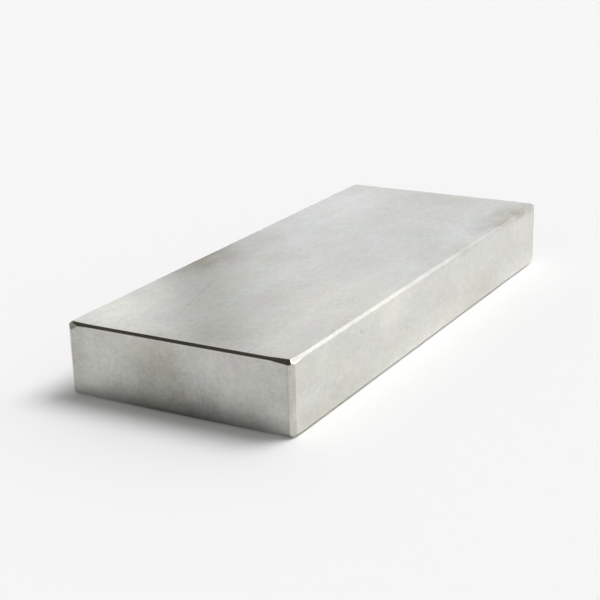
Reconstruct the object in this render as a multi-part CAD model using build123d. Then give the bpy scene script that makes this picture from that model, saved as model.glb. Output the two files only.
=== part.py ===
"""A rectangular block magnet, made as one piece.

The real one is a sintered block, ground flat on its six faces, with its edges broken, then plated with
nickel. Its two largest faces are its poles, and it lies on one of them. X runs across its width, Y along its
length and Z through its thickness, and the origin is the middle of the lower pole face. Sizes are in
millimetres, and a corner is named by the side of X, Y and Z that it is on.
"""

import os
from itertools import product

from build123d import *

# The ground block
LENGTH = 120.0
WIDTH = 50.0
THICKNESS = 15.0

# Its broken edges: the four upright ones are round, and those of the pole faces are cut at 45 degrees
UPRIGHT_EDGE_RADIUS = 1.05
POLE_EDGE_LEG = 0.55

# Tumbling and knocks cut the pole edges deeper towards the corners
END_EDGE_RUN = 4.5  # how far from a corner this starts, along an end face
SIDE_EDGE_RUN = 4.5  # how far from a corner this starts, along a long side
CORNER_LOSS = 0.2  # what it adds to the leg at an ordinary corner
RUBBED_CORNER = (1, -1, 1)
RUBBED_CORNER_LOSS = 0.42
KNOCKED_CORNER = (1, 1, -1)
KNOCKED_CORNER_LOSS = 0.85

# One corner is nipped off, on a facet that would meet the three sharp edges this far from their corner
NIPPED_CORNER = (-1, -1, 1)
NIP_ALONG_X = 3.6
NIP_ALONG_Y = 0.75
NIP_ALONG_Z = 2.1


def ground_block():
    """The block between its six ground faces, with its upright edges rounded."""
    outline = RectangleRounded(WIDTH, LENGTH, UPRIGHT_EDGE_RADIUS)
    return extrude(outline, amount=THICKNESS)


def pole_edge_envelope():
    """A sharp block of the same size, cut at 45 degrees round both pole faces and mitred at its corners."""
    standing = (Align.CENTER, Align.CENTER, Align.MIN)
    envelope = Box(WIDTH, LENGTH, THICKNESS, align=standing)
    pole_edges = envelope.edges() - envelope.edges().filter_by(Axis.Z)
    return chamfer(pole_edges, length=POLE_EDGE_LEG)


def pole_face_height(side_z):
    """The height of the upper or the lower pole face."""
    return THICKNESS if side_z > 0 else 0.0


def corner_loss(corner):
    """How much deeper than along the edges the pole edges are cut at this corner."""
    if corner == RUBBED_CORNER:
        return RUBBED_CORNER_LOSS
    if corner == KNOCKED_CORNER:
        return KNOCKED_CORNER_LOSS
    return CORNER_LOSS


def rubbing_planes(corner):
    """The two planes, facing outwards, that cut the end edge and the side edge deeper towards a corner."""
    side_x, side_y, side_z = corner
    loss = corner_loss(corner)
    height = pole_face_height(side_z)
    end_start = (side_x * (WIDTH / 2 - END_EDGE_RUN), side_y * (LENGTH / 2 - POLE_EDGE_LEG), height)
    side_start = (side_x * (WIDTH / 2 - POLE_EDGE_LEG), side_y * (LENGTH / 2 - SIDE_EDGE_RUN), height)
    end_plane = Plane(origin=end_start, z_dir=(side_x * loss / END_EDGE_RUN, side_y, side_z))
    side_plane = Plane(origin=side_start, z_dir=(side_x, side_y * loss / SIDE_EDGE_RUN, side_z))
    return [end_plane, side_plane]


def nip_plane(corner):
    """The facet, facing outwards, that a knock has left across a corner."""
    side_x, side_y, side_z = corner
    on_end_edge = (side_x * (WIDTH / 2 - NIP_ALONG_X), side_y * LENGTH / 2, pole_face_height(side_z))
    facing = (side_x / NIP_ALONG_X, side_y / NIP_ALONG_Y, side_z / NIP_ALONG_Z)
    return Plane(origin=on_end_edge, z_dir=facing)


def magnet_block():
    """The whole magnet: ground, its edges broken, and its eight corners worn."""
    block = ground_block() & pole_edge_envelope()
    cuts = [plane for corner in product((-1, 1), repeat=3) for plane in rubbing_planes(corner)]
    cuts.append(nip_plane(NIPPED_CORNER))
    for plane in cuts:
        block = split(block, bisect_by=plane, keep=Keep.BOTTOM)
    return block


os.makedirs("parts", exist_ok=True)
export_step(magnet_block(), "parts/magnet_block.step")
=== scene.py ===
from itertools import product
from math import cos, radians, sin

import bpy
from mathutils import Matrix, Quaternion, Vector


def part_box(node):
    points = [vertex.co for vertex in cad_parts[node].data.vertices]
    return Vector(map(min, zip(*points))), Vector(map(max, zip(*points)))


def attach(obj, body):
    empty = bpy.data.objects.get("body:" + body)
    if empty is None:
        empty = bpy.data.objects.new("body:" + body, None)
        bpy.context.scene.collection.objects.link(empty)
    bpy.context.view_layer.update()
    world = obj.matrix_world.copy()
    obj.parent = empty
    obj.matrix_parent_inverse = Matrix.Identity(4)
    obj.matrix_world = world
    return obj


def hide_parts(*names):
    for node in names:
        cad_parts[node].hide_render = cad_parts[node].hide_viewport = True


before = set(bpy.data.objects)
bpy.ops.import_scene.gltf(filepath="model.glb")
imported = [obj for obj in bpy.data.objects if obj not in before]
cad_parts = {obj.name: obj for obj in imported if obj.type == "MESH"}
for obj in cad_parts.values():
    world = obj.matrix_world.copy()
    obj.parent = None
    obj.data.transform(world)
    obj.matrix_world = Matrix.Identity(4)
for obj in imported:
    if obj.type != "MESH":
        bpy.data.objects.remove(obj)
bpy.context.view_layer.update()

# The magnet: one sintered block, ground flat on its six faces. Tumbling has broken its edges and worn
# its corners, and it is then plated with nickel all over, which rounds every ridge a little.
MM = 0.001
UPRIGHT_EDGE_RADIUS = 1.05 * MM
UPRIGHT_EDGE_STEPS = 14
POLE_EDGE_LEG = 0.55 * MM
CORNER_RUN = 4.5 * MM  # how far from a corner the pole edges start to be cut deeper
CORNER_LOSS = 0.2 * MM
DEEPER_LOSS = {(1, -1, 1): 0.42 * MM, (1, 1, -1): 0.85 * MM}  # the rubbed corner and the knocked one
NIPPED_CORNER = Vector((-1, -1, 1))
NIP_ALONG_EDGES = Vector((3.6, 0.75, 2.1)) * MM
RIDGE_ANGLE = radians(18)  # two faces that turn by more than this meet in a ridge
PLATED_RIDGE = 0.08 * MM
PLATED_RIDGE_STEPS = 3
SMOOTH_ANGLE = radians(30)
PITS = [  # the middle and the half sizes of the ball that presses each, in millimetres
    ((25.0, -33.5, 12.0), (0.22, 0.32, 0.28)),
    ((25.0, -28.1, 8.3), (0.18, 0.26, 0.22)),
    ((25.0, -7.3, 11.8), (0.15, 0.55, 0.18)),
    ((-25.0, 21.0, 6.5), (0.20, 0.30, 0.26)),
    ((-25.0, -38.0, 10.6), (0.15, 0.42, 0.20)),
    ((11.0, 60.0, 9.2), (0.28, 0.20, 0.24)),
]

low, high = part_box("magnet_block")
middle = (low + high) / 2
half = (high - low) / 2

bpy.ops.object.select_all(action="DESELECT")
bpy.ops.mesh.primitive_cube_add(size=2, location=middle, scale=half)
magnet = bpy.context.object
magnet.name = "plated_magnet_block"
bpy.ops.object.transform_apply(location=True, rotation=True, scale=True)


def select_edges(is_wanted):
    """Selects just the edges whose two ends pass the test."""
    bpy.ops.object.mode_set(mode="EDIT")
    bpy.ops.mesh.select_mode(type="EDGE")
    bpy.ops.mesh.select_all(action="DESELECT")
    bpy.ops.object.mode_set(mode="OBJECT")
    points = [v.co.copy() for v in magnet.data.vertices]
    for edge in magnet.data.edges:
        a, b = edge.vertices
        edge.select = is_wanted(points[a], points[b])


def grind_off(point, facing):
    """Cuts away what stands out beyond a plane, and closes the cut."""
    bpy.ops.mesh.select_all(action="SELECT")
    bpy.ops.mesh.bisect(plane_co=point, plane_no=facing.normalized(), use_fill=True, clear_outer=True)


select_edges(lambda a, b: abs(a.z - b.z) > half.z)
bpy.ops.object.mode_set(mode="EDIT")
bpy.ops.mesh.bevel(offset=UPRIGHT_EDGE_RADIUS, segments=UPRIGHT_EDGE_STEPS, affect="EDGES")

for side, up in product((-1, 1), repeat=2):
    end_point = middle + Vector((0, side * (half.y - POLE_EDGE_LEG), up * half.z))
    grind_off(end_point, Vector((0, side, up)))
    side_point = middle + Vector((side * (half.x - POLE_EDGE_LEG), 0, up * half.z))
    grind_off(side_point, Vector((side, 0, up)))

for x, y, z in product((-1, 1), repeat=3):
    loss = DEEPER_LOSS.get((x, y, z), CORNER_LOSS)
    end_start = middle + Vector((x * (half.x - CORNER_RUN), y * (half.y - POLE_EDGE_LEG), z * half.z))
    grind_off(end_start, Vector((x * loss / CORNER_RUN, y, z)))
    side_start = middle + Vector((x * (half.x - POLE_EDGE_LEG), y * (half.y - CORNER_RUN), z * half.z))
    grind_off(side_start, Vector((x, y * loss / CORNER_RUN, z)))

from_sharp_corner = NIPPED_CORNER * NIP_ALONG_EDGES * Vector((1, 0, 0))
nip_start = middle + NIPPED_CORNER * half - from_sharp_corner
grind_off(nip_start, Vector(side / leg for side, leg in zip(NIPPED_CORNER, NIP_ALONG_EDGES)))

bpy.ops.mesh.select_all(action="DESELECT")
bpy.ops.mesh.edges_select_sharp(sharpness=RIDGE_ANGLE)
bpy.ops.mesh.bevel(offset=PLATED_RIDGE, segments=PLATED_RIDGE_STEPS, affect="EDGES")
bpy.ops.object.mode_set(mode="OBJECT")


def press_pit(place, half_sizes):
    """Sinks one shallow pit into the surface, with a flattened ball that is then taken away."""
    bpy.ops.object.select_all(action="DESELECT")
    bpy.ops.mesh.primitive_ico_sphere_add(
        subdivisions=3,
        radius=1,
        location=Vector(place) * MM,
        scale=Vector(half_sizes) * MM,
    )
    ball = bpy.context.object
    bpy.ops.object.transform_apply(location=True, rotation=True, scale=True)
    bpy.context.view_layer.objects.active = magnet
    pit = magnet.modifiers.new("pit", "BOOLEAN")
    pit.operation = "DIFFERENCE"
    pit.object = ball
    bpy.ops.object.modifier_apply(modifier=pit.name)
    bpy.data.objects.remove(ball)


for place, half_sizes in PITS:
    press_pit(place, half_sizes)
bpy.ops.object.select_all(action="DESELECT")
magnet.select_set(True)
bpy.ops.object.shade_smooth_by_angle(angle=SMOOTH_ANGLE)
even_faces = magnet.modifiers.new("even_faces", "WEIGHTED_NORMAL")
even_faces.keep_sharp = True
bpy.ops.object.modifier_apply(modifier=even_faces.name)

# Its finish: a satin nickel plate, a little cloudy where the bath and the wiping left it uneven, with a
# fine grain from the ground faces below. Handling has left smudges, specks and one long scratch on it.
# Painted shade and painted highlights are laid into its colour too, for light and shadow that it
# reflects.
CLEAR_NICKEL = (0.647, 0.648, 0.608, 1)
COOLER_NICKEL = (0.640, 0.652, 0.652, 1)  # the colour of the upper face towards the rear
COOLING = (-45 * MM, 30 * MM)  # where along the block it starts and is full
CLOUDED_NICKEL = (0.560, 0.558, 0.520, 1)
# the colour towards which stains and painted shade darken the plate
STAINED_AND_SHADED_NICKEL = (0.385, 0.368, 0.305, 1)
UPRIGHT_EDGE_TINT = (1.025, 0.995, 0.955)

END_FACE_PAINTED_SHADE = 0.19  # painted shade: the end faces, ground across, are made this much darker
SIDE_FACE_PAINTED_LIGHT = 0.18  # painted light: the long sides, ground along, and the edges are made this much brighter
UPRIGHT_EDGE_DULLNESS = 0.1
RIM_DULLNESS = 0.12  # along the thin line where the ground end stops and the round upright edge starts
FACE_ROUGHNESS = 0.215
CLOUD_ROUGHNESS = 0.05  # what full cloudiness adds to it
SIDE_ROUGHNESS = 0.08  # what a long side adds to it
EDGE_ROUGHNESS = 0.225

GRIND_STRETCH = 1.9  # how much longer than wide the uneven patches are, along the block
NOISE_ROUGHNESS = 0.55
MOST_NOISE = (0.3, 0.7)  # nearly all of a noise lies between these
CLOUD_SIZE = 24 * MM
CLOUD_NOISE = (0.32, 0.68)
LEAST_CLOUDS = 0.15
MOST_CLOUDS = 0.65
SMALL_CLOUD_SIZE = 5 * MM
SMALL_CLOUDS = 0.15
TINT_SIZE = 7 * MM
TINTING = 0.1
MOTTLE_SIZE = 1.6 * MM
MOTTLING = 0.028
GRAIN_SIZE = 0.6 * MM
GRAIN_DEPTH = 0.003 * MM
SPECKLING = 0.046  # how much the grain changes the brightness
WAVE_SIZE = 22 * MM
WAVE_DEPTH = 0.09 * MM
RUBBED_SIZE = 4 * MM
RUBBED_NOISE = (0.3, 0.55)
LEAST_RUBBED = 0.45  # how much of their rubbing the upright edges have where they have least
RAGGED_SIZE = 6 * MM  # the size and the shift of the bays in the rims of smudges

MARK_CORE = 0.1  # the share of its size within which a mark is at its strongest
# a mark has a place, half sizes, a turn and a strength, in millimetres and degrees
SMUDGES_AND_PAINTED_SHADE = [
    # these three on the upper face are partly smudges and partly painted reflection of the dark seam in
    # the walls
    ((-25, -14, 15.8), (13, 17, 3.4), 8, 1.05),
    ((4, -54, 15), (8, 10, 4), 30, 0.32),
    ((-10, -34, 15), (8, 34, 4), 35, 0.15),
    ((25, 44, 16), (11, 24, 2.5), 0, 0.85),
    ((25, 17, 16), (6, 11, 2.5), 0, 0.35),
    ((2, 54, 15), (14, 9, 8), 0, 0.22),
    ((17, 14, 15), (7, 18, 8), 30, 0.2),
    ((-20, 4, 15), (9, 14, 9), 10, 0.18),
    # these three low on the right side are painted shade, for the block's shadow on the table that the
    # side reflects near its foot
    ((25.5, -54, 2), (2, 8, 5), 0, 0.2),
    ((25, -42, 1), (4, 24, 7), 0, 0.4),
    ((25, 24, 1), (4, 26, 8), 0, 0.3),
    # these three on the front end are painted shade, for the shaded table in front that this end reflects
    ((-4, -60, 1), (16, 4, 15), 0, 0.3),
    ((-24, -60, 8), (5, 4, 7), 0, 0.35),
    ((-5, -60, 11), (8, 4, 8), 0, 0.3),
]
PAINTED_SHEEN_PATCHES = [  # painted highlights where the plate is made brighter and, below zero, painted shade where it is made darker
    ((17, -28, 15), (13, 38, 5), 0, 0.14),
    ((19, -54, 15), (9, 10, 5), 0, 0.1),
    ((-23, 48, 15), (7, 20, 5), 0, 0.06),
    ((-19, -46, 15), (13, 17, 5), 0, 0.24),
    ((-8, -55, 15), (6, 6, 5), 0, 0.12),
    ((-16, -53, 15), (8, 8, 5), 0, 0.06),
    ((-22, -34, 15), (5, 6, 5), 0, 0.1),
    ((-16, 38, 15), (12, 22, 5), 12, 0.09),
    ((25, -20, 12), (5, 12, 6), 0, 0.15),
    ((25, -48, 13), (4, 6, 5), 0, 0.07),
    ((25, 52, 12), (4, 10, 8), 0, 0.1),
    ((8, -60, 12.5), (6, 4, 4), 0, 0.06),
    ((14, -60, 9), (12, 4, 8), 0, 0.04),
    # the two below zero are painted shade, for the shaded table that the front end reflects, and the next
    # two painted highlights at its lower corners
    ((-4, -60, 1), (16, 4, 15), 0, -0.2),
    ((8, -60, 1), (13, 4, 8), 0, -0.19),
    ((22, -60, 3), (5, 4, 5), 0, 0.15),
    ((-20, -60, 2), (9, 4, 4), 0, 0.12),
]
SPECKS_AND_NIP_SHADE = [  # the first one is painted shade on the nipped corner's facet
    ((-24.4, -60, 14.6), (3.2, 1.8, 1.8), 0, 1.0),
    ((17.7, -28.5, 15), (0.6, 0.8, 0.6), 0, 0.35),
    ((20.3, 13.9, 15), (0.6, 0.9, 0.6), 0, 0.2),
    ((-17.9, 8.0, 15), (0.6, 0.9, 0.6), 0, 0.2),
    ((0.9, 53.8, 15), (0.6, 1.0, 0.6), 0, 0.2),
    ((22.9, -34.0, 15), (0.5, 0.7, 0.6), 0, 0.2),
    ((-13.5, -51.0, 15), (0.5, 0.7, 0.6), 0, 0.2),
    ((-21.5, -27.0, 15), (0.5, 0.7, 0.6), 0, 0.2),
    ((-3.0, 31.0, 0), (0.6, 0.6, 0.6), 0, 0.3),
    ((12.0, -47.0, 0), (0.6, 0.6, 0.6), 0, 0.3),
]
SCRATCH = ((-11.3, -33.6, 15), (0.4, 21, 1.0), 14.5, 0.22)
DARKER_FAR_RIGHT_PLACE = ((25, 42, 15.6), (12, 17, 1.0), 0, 1.15)  # darker on the upper face by the far part of its right edge
PAINTED_CONTACT_SHADE = ((0, -60, 0), (40, 1.2, 1.0), 0, -0.55)  # painted shade along the lower edge in front, where it reflects the dark table under the block
PAINTED_EDGE_SHADE = ((25, 46, 15), (1.6, 44, 1.6), 0, -0.17)  # painted shade that dims the reflection along the far part of the right upper edge
PIT_STAIN = 0.6
PIT_STAIN_REACH = 1.5  # how much larger than the pit its stain is

plate = bpy.data.materials.new("satin_nickel_plate")
plate.use_nodes = True
tree = plate.node_tree  # where add() puts its nodes, up to the room, which has a tree of its own


def add(kind, feeds, **settings):
    """Adds a node to the tree, and feeds its inputs with numbers or with what other nodes give."""
    node = tree.nodes.new(kind)
    for name, value in settings.items():
        setattr(node, name, value)
    for place, value in feeds.items():
        if isinstance(value, bpy.types.NodeSocket):
            tree.links.new(value, node.inputs[place])
        else:
            node.inputs[place].default_value = value
    return node


def combine(operation, a, b):
    """Adds, subtracts, multiplies or compares two levels."""
    return add("ShaderNodeMath", {0: a, 1: b}, operation=operation).outputs["Value"]


def combine_vectors(operation, a, b):
    """Does the same with two places or colours, to each of their three numbers by itself."""
    return add("ShaderNodeVectorMath", {0: a, 1: b}, operation=operation).outputs["Vector"]


def scaled(vector, amount):
    """A colour or a direction times one amount."""
    return add("ShaderNodeVectorMath", {0: vector, "Scale": amount}, operation="SCALE").outputs["Vector"]


def outside(share):
    """What a share leaves of the whole."""
    return combine("SUBTRACT", 1.0, share)


def total(levels):
    """The sum of several levels."""
    result = levels[0]
    for level in levels[1:]:
        result = combine("ADD", result, level)
    return result


def blend_levels(share, first, second):
    """Passes from one level to another as the share goes from 0 to 1."""
    return add("ShaderNodeMix", {0: share, 2: first, 3: second}).outputs[0]


def blend_colours(share, first, second):
    """Passes from one colour to another as the share goes from 0 to 1."""
    return add("ShaderNodeMix", {0: share, 6: first, 7: second}, data_type="RGBA").outputs[2]


def ramp(value, start, end, at_start=0.0, at_end=1.0):
    """Changes softly from one level to another while a value passes from start to end."""
    feeds = {"Value": value, "From Min": start, "From Max": end, "To Min": at_start, "To Max": at_end}
    return add("ShaderNodeMapRange", feeds, interpolation_type="SMOOTHSTEP").outputs["Result"]


def noise(size, detail):
    """Uneven patches of about this size, drawn out along the block, from 0 to 1 but mostly near 0.5."""
    feeds = {"Vector": drawn_out, "Scale": 1 / size, "Detail": detail, "Roughness": NOISE_ROUGHNESS}
    return add("ShaderNodeTexNoise", feeds).outputs


def mark(place, half_sizes, turn, strength, where):
    """A mark with a soft rim, strongest in its middle."""
    feeds = {
        "Vector": where,
        "Location": Vector(place) * MM,
        "Rotation": (0, 0, radians(turn)),
        "Scale": Vector(half_sizes) * MM,
    }
    within = add("ShaderNodeMapping", feeds, vector_type="TEXTURE").outputs["Vector"]
    distance = add("ShaderNodeVectorMath", {0: within}, operation="LENGTH").outputs["Value"]
    return ramp(distance, MARK_CORE, 1.0, strength, 0.0)


on_block = tree.nodes.new("ShaderNodeTexCoord").outputs["Object"]
drawn_out = combine_vectors("MULTIPLY", on_block, (1.0, 1 / GRIND_STRETCH, 1.0))
jitter = combine_vectors("SUBTRACT", noise(RAGGED_SIZE, 3.0)["Color"], (0.5, 0.5, 0.5))
ragged = combine_vectors("ADD", on_block, combine_vectors("MULTIPLY", jitter, (RAGGED_SIZE,) * 3))

# which part of the block a point is on, told by how far it is past a box drawn inside the faces
EDGE_REACH = 1.2 * MM  # how far inside them
FACE_STARTS, FACE_IS_FULL = 0.6 * EDGE_REACH, 0.95 * EDGE_REACH
EDGE_STARTS, EDGE_IS_FULL = 1.38 * EDGE_REACH, 1.52 * EDGE_REACH
UPRIGHT_STARTS, UPRIGHT_IS_FULL = 1.1 * EDGE_REACH, 1.25 * EDGE_REACH
POLE_STARTS, POLE_IS_FULL = 0.4 * EDGE_REACH, 0.65 * EDGE_REACH
RIM_STARTS, RIM_IS_FULL = 0.0, 0.05 * EDGE_REACH
RIM_FADES, RIM_ENDS = 0.2 * EDGE_REACH, 0.35 * EDGE_REACH
from_middle = combine_vectors("SUBTRACT", on_block, middle)
folded = add("ShaderNodeVectorMath", {0: from_middle}, operation="ABSOLUTE").outputs["Vector"]
past_box = combine_vectors("SUBTRACT", folded, half - Vector((1, 1, 1)) * EDGE_REACH)
reach = add("ShaderNodeSeparateXYZ", {0: combine_vectors("MAXIMUM", past_box, (0, 0, 0))}).outputs
on_sides = ramp(reach["X"], FACE_STARTS, FACE_IS_FULL)
on_ends = ramp(reach["Y"], FACE_STARTS, FACE_IS_FULL)
upright_reach = combine("ADD", reach["X"], reach["Y"])
on_edges = ramp(combine("ADD", upright_reach, reach["Z"]), EDGE_STARTS, EDGE_IS_FULL)
below_pole = ramp(reach["Z"], POLE_STARTS, POLE_IS_FULL, 1.0, 0.0)
whole_uprights = ramp(upright_reach, UPRIGHT_STARTS, UPRIGHT_IS_FULL, 0.0, below_pole)
patchy_rubbing = ramp(noise(RUBBED_SIZE, 2.0)["Fac"], *RUBBED_NOISE, LEAST_RUBBED, 1.0)
on_uprights = combine("MULTIPLY", whole_uprights, patchy_rubbing)
rim_start = ramp(reach["X"], RIM_STARTS, RIM_IS_FULL)
rim_end = ramp(reach["X"], RIM_FADES, RIM_ENDS, 1.0, 0.0)
rim_line = combine("MULTIPLY", rim_start, rim_end)
on_rim = combine("MULTIPLY", rim_line, combine("MULTIPLY", on_ends, below_pole))

# the plate's own colour: clouds over the clear nickel, which is cooler towards the rear of the upper face
broad_clouds = ramp(noise(CLOUD_SIZE, 1.5)["Fac"], *CLOUD_NOISE, LEAST_CLOUDS, MOST_CLOUDS)
small_clouds = ramp(noise(SMALL_CLOUD_SIZE, 3.0)["Fac"], *MOST_NOISE, -SMALL_CLOUDS, SMALL_CLOUDS)
cloudiness = combine("ADD", broad_clouds, small_clouds)
along = add("ShaderNodeSeparateXYZ", {0: on_block}).outputs["Y"]
coolness = combine("MULTIPLY", ramp(along, *COOLING), outside(on_sides))
clear = blend_colours(coolness, CLEAR_NICKEL, COOLER_NICKEL)
plated = blend_colours(cloudiness, clear, CLOUDED_NICKEL)

# what has stained it, and the painted shade that darkens it with the same colour
scratch = mark(*SCRATCH, on_block)
darker_far_right = mark(*DARKER_FAR_RIGHT_PLACE, on_block)
specks_and_nip_shade = total([mark(*dark_mark, on_block) for dark_mark in SPECKS_AND_NIP_SHADE])
pit_stains = [(place, Vector(half_sizes) * PIT_STAIN_REACH, 0, PIT_STAIN) for place, half_sizes in PITS]
in_pits = total([mark(*stain, on_block) for stain in pit_stains])
smudges_and_painted_shade = total([mark(*darkening, ragged) for darkening in SMUDGES_AND_PAINTED_SHADE])
stains_and_painted_shade = total([smudges_and_painted_shade, specks_and_nip_shade, scratch, darker_far_right, in_pits])
stained_and_shaded = blend_colours(stains_and_painted_shade, plated, STAINED_AND_SHADED_NICKEL)
tint_patches = combine_vectors("MULTIPLY", noise(TINT_SIZE, 2.0)["Color"], (TINTING,) * 3)
tints = combine_vectors("ADD", tint_patches, (1 - TINTING / 2,) * 3)
tinted = combine_vectors("MULTIPLY", stained_and_shaded, tints)
warmer = combine_vectors("MULTIPLY", tinted, UPRIGHT_EDGE_TINT)
coloured = blend_colours(on_uprights, tinted, warmer)

# how brightly each place reflects, with painted highlights and painted shade in it
painted_end_shade = combine("MULTIPLY", combine("MULTIPLY", on_ends, outside(on_uprights)), -END_FACE_PAINTED_SHADE)
painted_light_mask = combine("MULTIPLY", combine("MAXIMUM", on_sides, on_edges), outside(on_uprights))
painted_side_light = combine("MULTIPLY", painted_light_mask, SIDE_FACE_PAINTED_LIGHT)
rubbed = combine("MULTIPLY", on_uprights, -UPRIGHT_EDGE_DULLNESS)
rimmed = combine("MULTIPLY", on_rim, -RIM_DULLNESS)
painted_sheen_and_shade = total([mark(*patch, ragged) for patch in PAINTED_SHEEN_PATCHES])
painted_contact_shade = mark(*PAINTED_CONTACT_SHADE, on_block)
painted_edge_shade = mark(*PAINTED_EDGE_SHADE, on_block)
grain = noise(GRAIN_SIZE, 2.0)["Fac"]
mottled = ramp(noise(MOTTLE_SIZE, 2.0)["Fac"], *MOST_NOISE, -MOTTLING, MOTTLING)
speckled = ramp(grain, *MOST_NOISE, -SPECKLING, SPECKLING)
brightness = total([painted_end_shade, painted_side_light, rubbed, rimmed, painted_sheen_and_shade, painted_contact_shade, painted_edge_shade, mottled, speckled, 1.0])
nickel = scaled(coloured, brightness)

# how sharply it reflects, and the shallow waves and grain of the ground faces
cloud_roughness = combine("MULTIPLY", cloudiness, CLOUD_ROUGHNESS)
side_roughness = combine("MULTIPLY", on_sides, SIDE_ROUGHNESS)
face_roughness = total([cloud_roughness, side_roughness, FACE_ROUGHNESS])
roughness = blend_levels(on_edges, face_roughness, EDGE_ROUGHNESS)
wave_feeds = {"Distance": WAVE_DEPTH, "Height": noise(WAVE_SIZE, 1.0)["Fac"]}
waves = add("ShaderNodeBump", wave_feeds).outputs["Normal"]
grain_feeds = {"Distance": GRAIN_DEPTH, "Height": grain, "Normal": waves}
ground = add("ShaderNodeBump", grain_feeds).outputs["Normal"]

plate_shader = tree.nodes["Principled BSDF"]
plate_shader.inputs["Metallic"].default_value = 1.0
tree.links.new(nickel, plate_shader.inputs["Base Color"])
tree.links.new(roughness, plate_shader.inputs["Roughness"])
tree.links.new(ground, plate_shader.inputs["Normal"])
magnet.data.materials.append(plate)

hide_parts("magnet_block")
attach(magnet, "root")

# The table that the block lies on: a wide round top, covered with plain matt white paper.
# It is part of the studio and not of the object.
TABLE_RADIUS = 4
PAPER_WHITE = (0.94, 0.94, 0.94, 1)
bpy.ops.mesh.primitive_circle_add(vertices=128, radius=TABLE_RADIUS, fill_type="NGON", location=(0, 0, 0))
table = bpy.context.object
table.name = "table"
paper = bpy.data.materials.new("table_paper")
paper.use_nodes = True
paper_shader = paper.node_tree.nodes["Principled BSDF"]
paper_shader.inputs["Base Color"].default_value = PAPER_WHITE
paper_shader.inputs["Roughness"].default_value = 1.0
paper_shader.inputs["Specular IOR Level"].default_value = 0.0
table.data.materials.append(paper)

# The room's light: pale walls behind the block, with a seam between two of them on the left, and dimmer
# ones in front. A softbox stands high behind on the right with a faint low panel under it, another faint
# panel stands behind on the left, and a small black flag hangs above in front.
PALE_WALLS = 0.954
PALE_STARTS, PALE_IS_FULL = 0.40, 0.74  # how close to straight behind, where 1 is straight behind
DIM_WALLS = 0.50
DIM_CEILING = 0.18
CEILING_STARTS, CEILING_IS_FULL = sin(radians(36)), sin(radians(50))
SEAM_TURN = -34.3  # degrees to the right of straight behind the block
SEAM_HALF_WIDTH, SOFT_SEAM_HALF_WIDTH = sin(radians(0.5)), sin(radians(2.8))
SEAM_STARTS, SEAM_IS_FULL = 0.3, 0.6  # how close to straight behind
SEAM_DEPTH = 0.44  # how much darker than the walls it is
# a round panel has a turn to the right of straight behind, a rise, a radius and a soft rim in degrees,
# and a level
SOFTBOX = (38, 60, 14, 5, 8.1)
LOW_PANEL = (31, 34, 3, 15, 0.42)
LEFT_PANEL = (-46, 19, 6, 6, 0.17)
FLAG = (-123, 51, 15, 6, 1.0)
FLAG_CLOTH = (0.034, 0.027, 0.017, 1)

room = bpy.data.worlds.new("room")
room.use_nodes = True
tree = room.node_tree
look = tree.nodes.new("ShaderNodeTexCoord").outputs["Generated"]


def closeness(turn, rise):
    """How close each direction of the room is to one: 1 towards it, 0 square to it, -1 away from it."""
    turn, rise = radians(turn), radians(rise)
    direction = (sin(turn) * cos(rise), cos(turn) * cos(rise), sin(rise))
    return add("ShaderNodeVectorMath", {0: look, 1: direction}, operation="DOT_PRODUCT").outputs["Value"]


def round_panel(turn, rise, radius, soft_rim, level):
    """The light of a round panel with a soft rim, and none outside it."""
    return ramp(closeness(turn, rise), cos(radians(radius + soft_rim)), cos(radians(radius)), 0.0, level)


behind = closeness(0, 0)
height = add("ShaderNodeSeparateXYZ", {0: look}).outputs["Z"]
in_front = ramp(height, CEILING_STARTS, CEILING_IS_FULL, DIM_WALLS, DIM_CEILING)
walls = blend_levels(ramp(behind, PALE_STARTS, PALE_IS_FULL), in_front, PALE_WALLS)
beside_seam = closeness(SEAM_TURN + 90, 0)
from_seam = add("ShaderNodeMath", {0: beside_seam}, operation="ABSOLUTE").outputs["Value"]
seam_line = ramp(from_seam, SEAM_HALF_WIDTH, SOFT_SEAM_HALF_WIDTH, 1.0, 0.0)
seam = combine("MULTIPLY", seam_line, ramp(behind, SEAM_STARTS, SEAM_IS_FULL))
seamed_walls = combine("MULTIPLY", walls, outside(combine("MULTIPLY", seam, SEAM_DEPTH)))
panels = [round_panel(*panel) for panel in (SOFTBOX, LOW_PANEL, LEFT_PANEL)]
light_level = total([seamed_walls, *panels])
light = scaled((1, 1, 1), light_level)
flagged = blend_colours(round_panel(*FLAG), light, FLAG_CLOTH)
tree.links.new(flagged, tree.nodes["Background"].inputs["Color"])
bpy.context.scene.world = room

# The camera: in front on the right, looking down at the block, turned a little clockwise. Its place and
# its turn bring the block's edges to where the photograph has them.
CAMERA_PLACE = Vector((142.65, -260.46, 104.1)) * MM
CAMERA_AIM = Vector((-7.7, 0.0, 3.56)) * MM
CAMERA_ROLL = radians(-1.57)
SENSOR_WIDTH = 36  # in millimetres, as the lens is
LENS = 85
NEAREST_SEEN = 0.01
bpy.ops.object.camera_add(location=CAMERA_PLACE)
camera = bpy.context.object
camera.rotation_mode = "QUATERNION"
unrolled = (CAMERA_AIM - CAMERA_PLACE).to_track_quat("-Z", "Y")
camera.rotation_quaternion = unrolled @ Quaternion((0, 0, 1), CAMERA_ROLL)
camera.data.sensor_width = SENSOR_WIDTH
camera.data.lens = LENS
camera.data.clip_start = NEAREST_SEEN
bpy.context.scene.camera = camera
bpy.context.scene.view_settings.view_transform = "Standard"
